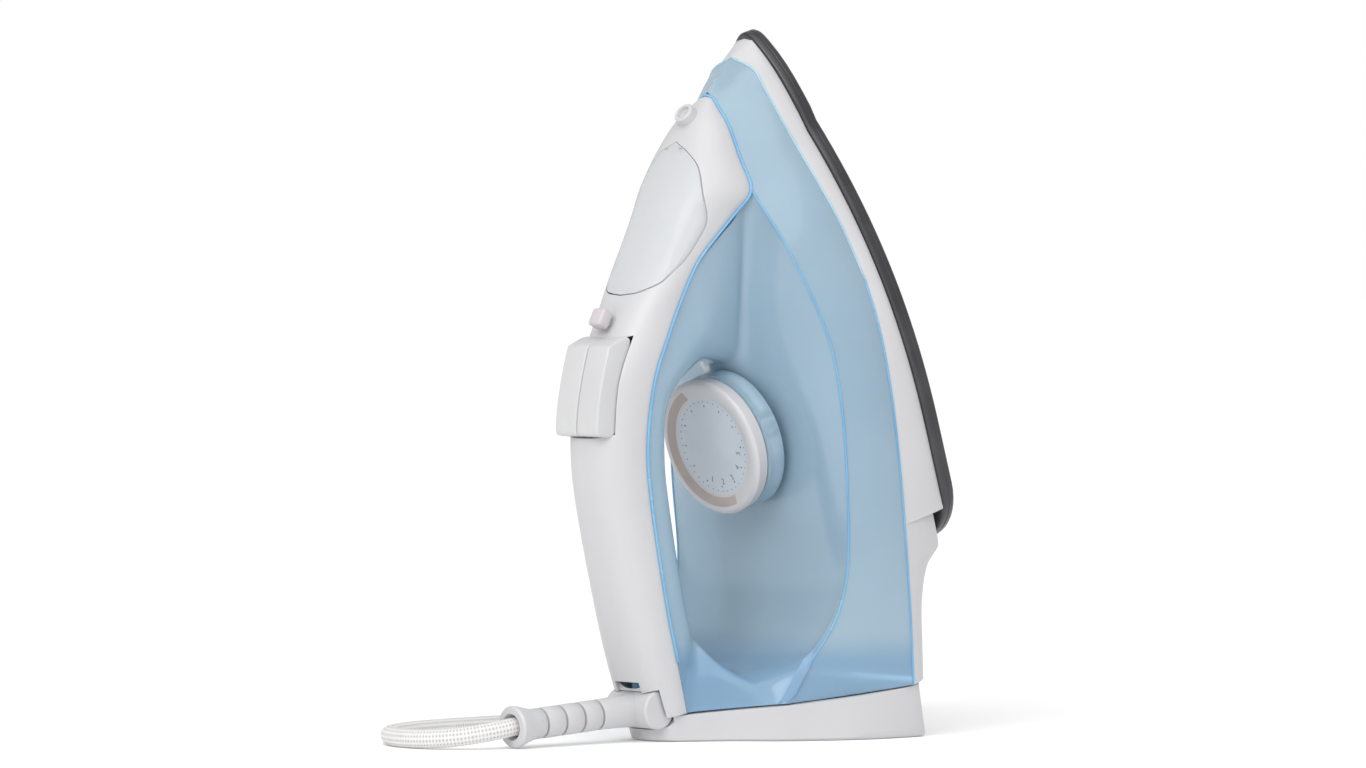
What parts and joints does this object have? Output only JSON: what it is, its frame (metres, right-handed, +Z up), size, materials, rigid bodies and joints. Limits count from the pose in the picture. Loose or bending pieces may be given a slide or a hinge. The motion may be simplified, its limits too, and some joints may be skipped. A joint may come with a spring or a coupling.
{
  "type": "steam iron",
  "caption": "Steam iron standing on its heel, with a blue water tank, white handle, clear filler lid, dial and braided mains cord.",
  "frame": {"origin": "centre of the flat heel face the iron stands on", "axes": "+Z up; +X towards the soleplate side, -X towards the handle side; Y across the iron"},
  "size_m": [0.3046, 0.2051, 0.287],
  "materials": {
    "white": "satin moulded polypropylene",
    "blue": "translucent tinted plastic",
    "clear": "clear moulded plastic",
    "grey": "satin",
    "sole": "dark non-stick coating on aluminium",
    "steel": "plain",
    "brass": "plain",
    "rubber": "matte",
    "copper": "bare wire",
    "braid": "woven cotton braid"
  },
  "bodies": {
    "root": {"burst_hose": "clear", "burst_pump_body": "white", "burst_pump_spring": "steel", "chamber_cover": "steel", "cord_coil": "braid", "cord_tail": "braid", "dial_collar": "blue", "earth_wire": "copper", "filler_bowl": "white", "handle_shell": "white", "heating_element": "steel", "heel_cover": "white", "inlet_seal": "rubber", "lid_hinge_pin": "steel", "live_wire": "rubber", "mains_cord": "braid", "neutral_wire": "rubber", "plug_body": "white", "plug_pin_left": "brass", "plug_pin_right": "brass", "rear_base": "white", "skirt": "white", "soleplate": "sole", "spray_hose": "clear", "spray_nozzle": "white", "spray_pump_body": "white", "spray_pump_spring": "steel", "steam_chamber": "steel", "tank_floor": "clear", "terminal_block": "white", "thermal_fuse": "steel", "thermostat": "steel", "upper_housing": "blue", "valve_seat": "brass", "water_tank": "blue"},
    "lid": {"filler_lid": "clear"},
    "spray_key": {"spray_button": "white", "spray_pump_piston": "steel"},
    "steam_key": {"steam_button": "white", "burst_pump_piston": "steel"},
    "lever": {"steam_lever": "grey"},
    "valve": {"valve_rod": "steel"},
    "knob": {"dial": "white", "dial_shaft": "steel"},
    "guard": {"guard_barrel": "white", "cord_guard": "white"}
  },
  "joints": [
    {"name": "lid_hinge", "type": "hinge", "parent": "root", "child": "lid", "pos_m": [-0.0369, 0, 0.2384], "axis": [0, 1, 0], "range_deg": [0, 75]},
    {"name": "spray_press", "type": "slide", "parent": "root", "child": "spray_key", "axis": [0.8622, 0, 0.5065], "range_m": [0, 0.0035], "stiffness_N_per_m": 300, "springref_m": -0.003, "deforming": ["spray_pump_spring"]},
    {"name": "steam_press", "type": "slide", "parent": "root", "child": "steam_key", "axis": [0.8622, 0, 0.5065], "range_m": [0, 0.0035], "stiffness_N_per_m": 300, "springref_m": -0.003, "deforming": ["burst_pump_spring"]},
    {"name": "lever_swing", "type": "hinge", "parent": "root", "child": "lever", "pos_m": [-0.0575, 0, 0.161], "axis": [-0.4539, 0, -0.891], "range_deg": [-17, 17]},
    {"name": "valve_lift", "type": "slide", "parent": "root", "child": "valve", "axis": [-0.9586, 0, -0.2846], "range_m": [-0.0013, 0.0013]},
    {"name": "dial_turn", "type": "hinge", "parent": "root", "child": "knob", "pos_m": [-0.013, 0, 0.1192], "axis": [-0.9586, 0, -0.2846], "range_deg": [0, 290]},
    {"name": "guard_swivel", "type": "hinge", "parent": "root", "child": "guard", "pos_m": [-0.0555, 0, 0.0132], "axis": [0, 1, 0], "range_deg": [0, 30], "deforming": ["mains_cord"]}
  ],
  "couplings": [
    {"joint": "valve_lift", "follows": "lever_swing", "m_per_rad": 0.004}
  ]
}
